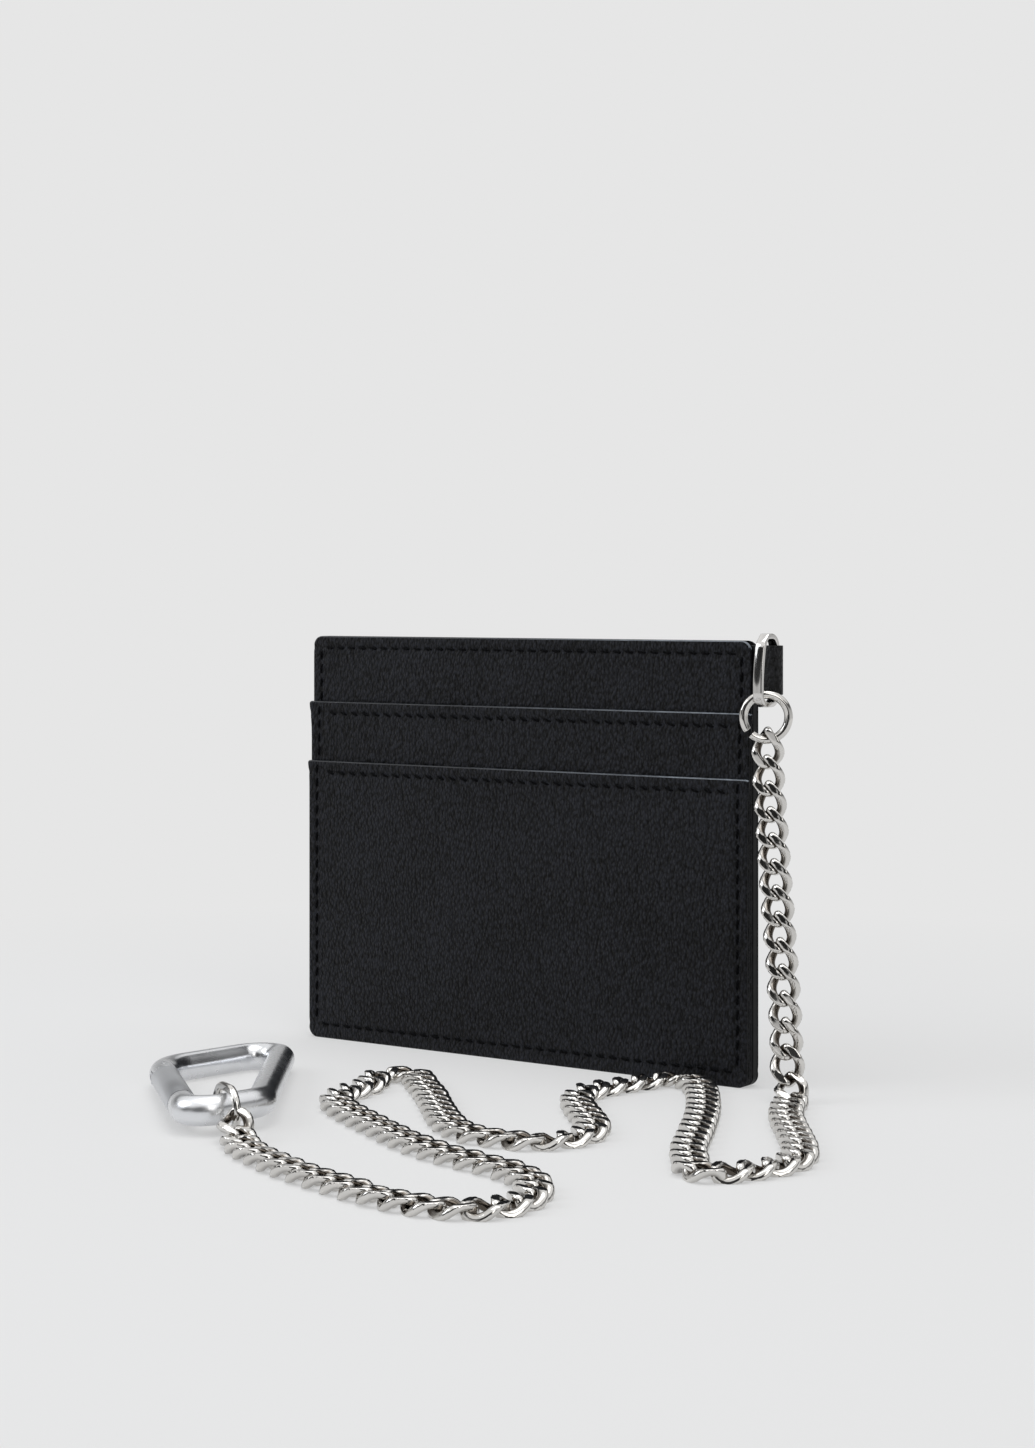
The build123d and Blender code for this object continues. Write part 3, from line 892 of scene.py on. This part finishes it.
def mouthGape(node, x, z):
    if node not in pockets:
        return np.zeros_like(x)
    mouth = upperMouth if node == "upper_pocket" else lowerMouth
    free = np.clip((sideX - np.abs(x)) / sheetSettings["gapeBorder"], 0, 1)
    uneven = 0.8 + 0.2 * np.sin(x * 70 + 2)
    return sheetSettings["mouthGape"] * free * uneven * np.exp(-((mouth - z) / sheetSettings["gapeFade"]) ** 2)


def makeSheet(name, node, outward):
    low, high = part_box(node)
    size, middle = high - low, (high + low) / 2
    clearSelection()
    bpy.ops.mesh.primitive_cube_add(size=1, location=middle, scale=size)
    piece = bpy.context.object
    piece.name = piece.data.name = name
    applyPlace(piece)
    editPiece(piece)
    near = 1e-6
    isPocket = node in pockets
    if isPocket:
        selectEdges(piece, lambda a, b: abs(a.y - b.y) > near and a.z > middle.z)
        bpy.ops.mesh.bevel(offset=sheetSettings["mouthCorner"], segments=3, affect="EDGES")
        selectEdges(piece, lambda a, b: abs(a.y - b.y) > near and a.z < middle.z)
    else:
        selectEdges(piece, lambda a, b: abs(a.y - b.y) > near)
    bpy.ops.mesh.bevel(offset=sheetSettings["cornerRadius"], segments=7, affect="EDGES")
    selectEdges(piece, lambda a, b: abs(a.y - b.y) < near)
    bpy.ops.mesh.bevel(offset=sheetSettings["edgeRound"], segments=4, affect="EDGES")
    rowCuts = sheetSettings["rowCuts"]
    rowOffsets = [-o for o in rowCuts] + list(reversed(rowCuts))
    fromLeft, fromRight = sheetSettings["gridEndsX"]
    fromBottom, fromTop = sheetSettings["gridEndsZ"]
    cutsX = list(np.arange(-halfWidth + fromLeft, halfWidth - fromRight, sheetSettings["gridStep"]))
    cutsX += [s * (sideX + o) for s in (-1, 1) for o in rowOffsets]
    cutsZ = list(np.arange(fromBottom, high.z - fromTop, sheetSettings["gridStep"]))
    for row in rowsOn(node):
        cutsZ += [row + o for o in rowOffsets]
    if isPocket:
        cutsZ += [high.z - o for o in sheetSettings["mouthCuts"]]
    for cut in cutsX:
        bpy.ops.mesh.select_all(action="SELECT")
        bpy.ops.mesh.bisect(plane_co=(cut, 0, 0), plane_no=(1, 0, 0))
    for cut in cutsZ:
        bpy.ops.mesh.select_all(action="SELECT")
        bpy.ops.mesh.bisect(plane_co=(0, 0, cut), plane_no=(0, 0, 1))
    leaveEdit()
    points = readPoints(piece)
    x, y, z = points[:, 0].copy(), points[:, 1], points[:, 2].copy()
    outerFace = (y - middle.y) * outward > 0
    y = y + gentleWave(x, z) + outward * mouthGape(node, x, z)
    y = y - outward * grooves(node, x, z) * outerFace
    points[:, 1] = y
    if isPocket:
        bulge, fade = sheetSettings["sideBulge"][node]
        reach = sheetSettings["bulgeBorder"]
        nearSide = np.clip((np.abs(x) - halfWidth + reach) / reach, 0, 1)
        points[:, 0] += np.sign(x) * bulge * np.exp(-((high.z - z) / fade) ** 2) * nearSide
    writePoints(piece, points)
    smoothShade(piece, sheetSettings["crease"])
    piece.data.materials.append(leather)
    piece.data.materials.append(edgePaint)
    piece.data.materials.append(mouthEdgeHighlight)
    for face in piece.data.polygons:
        # slot mouths and the front panel's top edge get the painted highlight, other cut edges the plain edge paint
        if face.normal.z > sheetSettings["mouthFacing"] and node != "back_panel":
            face.material_index = 2
        elif abs(face.normal.y) < sheetSettings["edgeFacing"]:
            face.material_index = 1
    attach(piece, "wallet")
    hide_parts(node)
    print(name, len(piece.data.polygons), "faces")
    return piece


makeSheet("frontPanel", "front_panel", -1)
makeSheet("upperPocket", "upper_pocket", -1)
makeSheet("lowerPocket", "lower_pocket", -1)
makeSheet("backPanel", "back_panel", 1)
paintNode("front_lining", lining)
paintNode("back_lining", lining)
paintNode("welt", edgePaint)
print("sheets ready")

# one stitch is copied along every row
stitchSettings = {
    "length": 0.0019,
    "pitch": 0.0027,
    "width": 0.0005,
    "sides": 6,
    "cuts": (-0.42, -0.28, 0, 0.28, 0.42),  # shares of the length
    "endThinner": 0.45,
    "endDive": 0.00024,  # how deep the ends go into their holes
    "sink": 0.00010,
    "mouthSlant": 19.0,
    "borderSlant": 7.0,
    "cornerStep": 0.00045,  # from a corner to the first stitch of a row
    "crease": 60,
}


def makeStitch(settings):
    clearSelection()
    bpy.ops.mesh.primitive_cylinder_add(vertices=settings["sides"], radius=settings["width"] / 2,
                                        depth=settings["length"], rotation=(0, math.radians(90), 0))
    stitch = bpy.context.object
    applyPlace(stitch)
    editPiece(stitch)
    for share in settings["cuts"]:
        bpy.ops.mesh.select_all(action="SELECT")
        bpy.ops.mesh.bisect(plane_co=(share * settings["length"], 0, 0), plane_no=(1, 0, 0))
    leaveEdit()
    points = readPoints(stitch)
    share = np.abs(points[:, 0]) / (settings["length"] / 2)
    thin = 1 - settings["endThinner"] * share ** 4
    points[:, 1] = points[:, 1] * thin + settings["endDive"] * share ** 3
    points[:, 2] *= thin
    writePoints(stitch, points)
    smoothShade(stitch, settings["crease"])
    stitch.data.materials.append(thread)
    return stitch


def spaced(first, last):
    length, pitch = stitchSettings["length"], stitchSettings["pitch"]
    count = int((last - first - length) // pitch) + 1
    spare = (last - first - length) - (count - 1) * pitch
    return [first + spare / 2 + length / 2 + i * pitch for i in range(count)]


def sewRow(places, node, upright=False, slant="borderSlant"):
    # the stitches lie on the sheet's outer face as its waves, gape and grooves leave it
    outward = 1 if node == "back_panel" else -1
    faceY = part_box(node)[0].y if outward < 0 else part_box(node)[1].y
    slant = stitchSettings[slant]
    copies = []
    for x, z in places:
        ax, az = np.array([x]), np.array([z])
        gape, groove = float(mouthGape(node, ax, az)[0]), float(grooves(node, ax, az)[0])
        y = faceY + float(gentleWave(ax, az)[0]) + outward * gape - outward * groove
        y += outward * (stitchSettings["width"] / 2 - stitchSettings["sink"])
        place = Matrix.Translation((x, y, z)) @ Matrix.Rotation(math.radians(slant + (90 if upright else 0)), 4, "Y")
        if outward > 0:
            place = place @ Matrix.Rotation(math.pi, 4, "X")
        copies.append(ownCopy(stitch, place))
    return copies


stitch = makeStitch(stitchSettings)
step = stitchSettings["cornerStep"]
rowEnds = (-sideX + step, sideX - step)
mouthEnds = (rowEnds[0] + 2 * step, rowEnds[1] - 2 * step)
topRow = panelHigh.z - sheetSettings["topMargin"]
bottomRow = sheetSettings["bottomMargin"]


def acrossPlaces(z, ends):
    return [(x, z) for x in spaced(*ends)]


def sidePlaces(low, high):
    return [(s * sideX, z) for z in spaced(low, high) for s in (-1, 1)]


def mouthPlaces(mouth):
    return acrossPlaces(mouth - sheetSettings["mouthMargin"], mouthEnds)


border = sewRow(acrossPlaces(bottomRow, rowEnds), "lower_pocket")
border += sewRow(sidePlaces(bottomRow + step, lowerMouth), "lower_pocket", upright=True)
border += sewRow(sidePlaces(lowerMouth, upperMouth), "upper_pocket", upright=True)
border += sewRow(sidePlaces(upperMouth, topRow - step), "front_panel", upright=True)
border += sewRow(acrossPlaces(topRow, rowEnds), "front_panel")
back = sewRow(acrossPlaces(bottomRow, rowEnds) + acrossPlaces(topRow, rowEnds), "back_panel")
back += sewRow(sidePlaces(bottomRow + step, topRow - step), "back_panel", upright=True)
upper = sewRow(mouthPlaces(upperMouth), "upper_pocket", slant="mouthSlant")
lower = sewRow(mouthPlaces(lowerMouth), "lower_pocket", slant="mouthSlant")
bpy.data.objects.remove(stitch)
sewing = [
    (border, "frontBorderThread", "border_stitching_front"),
    (back, "backBorderThread", "border_stitching_back"),
    (upper, "upperMouthThread", "upper_mouth_stitching"),
    (lower, "lowerMouthThread", "lower_mouth_stitching"),
]
for copies, name, node in sewing:
    piece = joinPieces(copies, name)
    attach(piece, "wallet")
    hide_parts(node)
print("stitches sewn")

# the tab is one strap, folded round the loop
tabSettings = {
    "leather": 0.0006,
    "foldX": 0.053897,
    "foldRadius": 0.00130,  # to the middle of the leather
    "foldSteps": 18,
    "root": 0.0466,
    "wallet": 0.050,
    "rootHalf": 0.0003,
    "edgeRound": 0.00013,
    "crease": 60,
}


def makeTab(settings):
    low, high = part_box("tab")
    foldX, radius = settings["foldX"], settings["foldRadius"]
    slope = math.asin((radius - settings["rootHalf"]) / (foldX - settings["wallet"]))
    first = (foldX - radius * math.sin(slope), radius * math.cos(slope))
    side = [(settings["root"], settings["rootHalf"]), (settings["wallet"], settings["rootHalf"])]
    side += [((settings["wallet"] + first[0]) / 2, (settings["rootHalf"] + first[1]) / 2), first]
    start = math.atan2(first[1], first[0] - foldX)
    steps = settings["foldSteps"]
    turns = [start - 2 * start * i / steps for i in range(1, steps)]
    arc = [(foldX + radius * math.cos(turn), radius * math.sin(turn)) for turn in turns]
    path = side + arc + [(x, -y) for x, y in reversed(side)]
    clearSelection()
    bpy.ops.mesh.primitive_plane_add(size=1)
    strap = bpy.context.object
    strap.name = strap.data.name = "tabStrap"
    corners = [(*path[0], low.z), (*path[1], low.z), (*path[0], high.z), (*path[1], high.z)]
    writePoints(strap, np.array(corners))
    editPiece(strap)
    selectEdges(strap, lambda a, b: abs(a.x - path[1][0]) < 1e-6 and abs(b.x - path[1][0]) < 1e-6)
    for here, ahead in zip(path[1:], path[2:]):
        bpy.ops.mesh.extrude_edges_move(TRANSFORM_OT_translate={"value": (ahead[0] - here[0], ahead[1] - here[1], 0)})
    for share in (0.25, 0.5, 0.75):
        bpy.ops.mesh.select_all(action="SELECT")
        bpy.ops.mesh.bisect(plane_co=(0, 0, low.z + share * (high.z - low.z)), plane_no=(0, 0, 1))
    bpy.ops.mesh.select_all(action="SELECT")
    bpy.ops.mesh.normals_make_consistent(inside=False)
    leaveEdit()
    addModifier(strap, "SOLIDIFY", thickness=settings["leather"], offset=0)
    addModifier(strap, "BEVEL", width=settings["edgeRound"], segments=3, limit_method="ANGLE",
                angle_limit=math.radians(settings["crease"]))
    smoothShade(strap, settings["crease"])
    strap.data.materials.append(tabLeather)
    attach(strap, "wallet")
    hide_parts("tab")
    return strap


makeTab(tabSettings)
print("tab ready")

studio = {
    "backdrop": 0.7913,
    "floorAlbedo": 0.83,
    "glow": 0.5,  # share of the plain backdrop in the lit floor
    "floorSize": 1.3,
    "clear": (0.16, 0.30),  # where the lit floor turns to the plain backdrop, from the floor's middle
    "floorMiddle": (0.02, -0.055),
    "lampAim": (0.01, -0.04, 0.03),
}


def makeFloor(settings):
    clearSelection()
    bpy.ops.mesh.primitive_plane_add(size=settings["floorSize"], location=(0, 0, 0))
    floor = bpy.context.object
    floor.name = "floor"
    material, tree, shader = newMaterial("floorPaper")
    link = tree.links.new
    shader.inputs["Base Color"].default_value = (settings["floorAlbedo"],) * 3 + (1,)
    shader.inputs["Roughness"].default_value = 1.0
    shader.inputs["Specular IOR Level"].default_value = 0.0
    glow = addNode(tree, "ShaderNodeEmission", Strength=1.0)
    glow.inputs["Color"].default_value = (settings["backdrop"],) * 3 + (1,)
    coords = addNode(tree, "ShaderNodeTexCoord")
    shift = addNode(tree, "ShaderNodeVectorMath", operation="SUBTRACT")
    shift.inputs[1].default_value = (*settings["floorMiddle"], 0)
    link(coords.outputs["Object"], shift.inputs[0])
    distance = addNode(tree, "ShaderNodeVectorMath", operation="LENGTH")
    link(shift.outputs["Vector"], distance.inputs[0])
    fade = mapRange(tree, distance.outputs["Value"], settings["glow"], 1.0, *settings["clear"])
    path = addNode(tree, "ShaderNodeLightPath")
    seen = addNode(tree, "ShaderNodeMath", operation="MAXIMUM")
    link(path.outputs["Is Camera Ray"], seen.inputs[0])
    link(path.outputs["Is Glossy Ray"], seen.inputs[1])
    share = addNode(tree, "ShaderNodeMath", operation="MULTIPLY")
    link(fade, share.inputs[0])
    link(seen.outputs[0], share.inputs[1])
    mix = addNode(tree, "ShaderNodeMixShader")
    link(share.outputs[0], mix.inputs["Fac"])
    link(shader.outputs["BSDF"], mix.inputs[1])
    link(glow.outputs["Emission"], mix.inputs[2])
    link(mix.outputs["Shader"], tree.nodes["Material Output"].inputs["Surface"])
    floor.data.materials.append(material)


makeFloor(studio)

worldSettings = {
    # (height, grey), from the lowest point of the sky to the highest
    "sky": [
        (0.0, 0.6), (0.50, 0.6), (0.60, 0.5), (0.66, 0.12), (0.71, 0.12), (0.75, 0.85), (0.90, 1.0), (1.0, 0.75),
    ],
    # the unlit sides of the studio, which polished metal shows as its dark stripes
    "darkSides": [
        {"turn": -62.0, "rise": 9.0, "reach": (0.80, 0.88), "grey": 0.04},
        {"turn": -120.0, "rise": 15.0, "reach": (0.958, 0.970), "grey": 0.02},
    ],
    "ambient": 0.5,
    "ambientColour": (0.97, 0.985, 1.0),
}


def makeWorld(settings):
    world = bpy.data.worlds.new("studioWorld")
    scene.world = world
    world.use_nodes = True
    tree = world.node_tree
    link = tree.links.new
    for node in list(tree.nodes):
        tree.nodes.remove(node)
    output = addNode(tree, "ShaderNodeOutputWorld")
    coords = addNode(tree, "ShaderNodeTexCoord")
    split = addNode(tree, "ShaderNodeSeparateXYZ")
    link(coords.outputs["Generated"], split.inputs[0])
    height = mapRange(tree, split.outputs["Z"], 0.0, 1.0, -1.0, 1.0)
    sky = addRamp(tree, height, [(place, (grey,) * 3) for place, grey in settings["sky"]])
    for side in settings["darkSides"]:
        turn, rise = math.radians(side["turn"]), math.radians(side["rise"])
        nearness = addNode(tree, "ShaderNodeVectorMath", operation="DOT_PRODUCT")
        link(coords.outputs["Generated"], nearness.inputs[0])
        level = math.cos(rise)
        nearness.inputs[1].default_value = (math.cos(turn) * level, math.sin(turn) * level, math.sin(rise))
        darkened = addNode(tree, "ShaderNodeMix", data_type="RGBA")
        link(mapRange(tree, nearness.outputs["Value"], 0.0, 1.0, *side["reach"]), darkened.inputs[0])
        link(sky, darkened.inputs[6])
        darkened.inputs[7].default_value = (side["grey"],) * 3 + (1,)
        sky = darkened.outputs[2]
    skyLight = addNode(tree, "ShaderNodeBackground", Strength=1.0)
    link(sky, skyLight.inputs["Color"])
    plain = addNode(tree, "ShaderNodeBackground", Strength=settings["ambient"])
    plain.inputs["Color"].default_value = (*settings["ambientColour"], 1)
    backdrop = addNode(tree, "ShaderNodeBackground", Strength=1.0)
    backdrop.inputs["Color"].default_value = (studio["backdrop"],) * 3 + (1,)
    path = addNode(tree, "ShaderNodeLightPath")
    shiny = addNode(tree, "ShaderNodeMixShader")
    link(path.outputs["Is Glossy Ray"], shiny.inputs["Fac"])
    link(plain.outputs[0], shiny.inputs[1])
    link(skyLight.outputs[0], shiny.inputs[2])
    seen = addNode(tree, "ShaderNodeMixShader")
    link(path.outputs["Is Camera Ray"], seen.inputs["Fac"])
    link(shiny.outputs[0], seen.inputs[1])
    link(backdrop.outputs[0], seen.inputs[2])
    link(seen.outputs[0], output.inputs["Surface"])


makeWorld(worldSettings)

lamps = {
    "keyLamp": {"place": (-0.62, -0.52, 0.55), "size": (0.5, 0.5), "power": 2.0, "colour": (0.93, 0.96, 1.0)},
    "topLamp": {"place": (0.05, -0.05, 0.9), "size": (0.7, 0.7), "power": 3.0, "colour": (1.0, 1.0, 1.0)},
    "rightLamp": {"place": (0.75, -0.55, 0.5), "size": (0.35, 0.6), "power": 1.1, "colour": (1.0, 0.985, 0.96)},
}


def makeLamps():
    aim = Vector(studio["lampAim"])
    for name, lamp in lamps.items():
        data = bpy.data.lights.new(name, "AREA")
        data.shape = "RECTANGLE"
        data.size, data.size_y = lamp["size"]
        data.energy = lamp["power"]
        data.color = lamp["colour"]
        thing = bpy.data.objects.new(name, data)
        scene.collection.objects.link(thing)
        thing.location = lamp["place"]
        thing.rotation_euler = (aim - Vector(lamp["place"])).to_track_quat("-Z", "Y").to_euler()


makeLamps()
print("studio ready")

clearSelection()
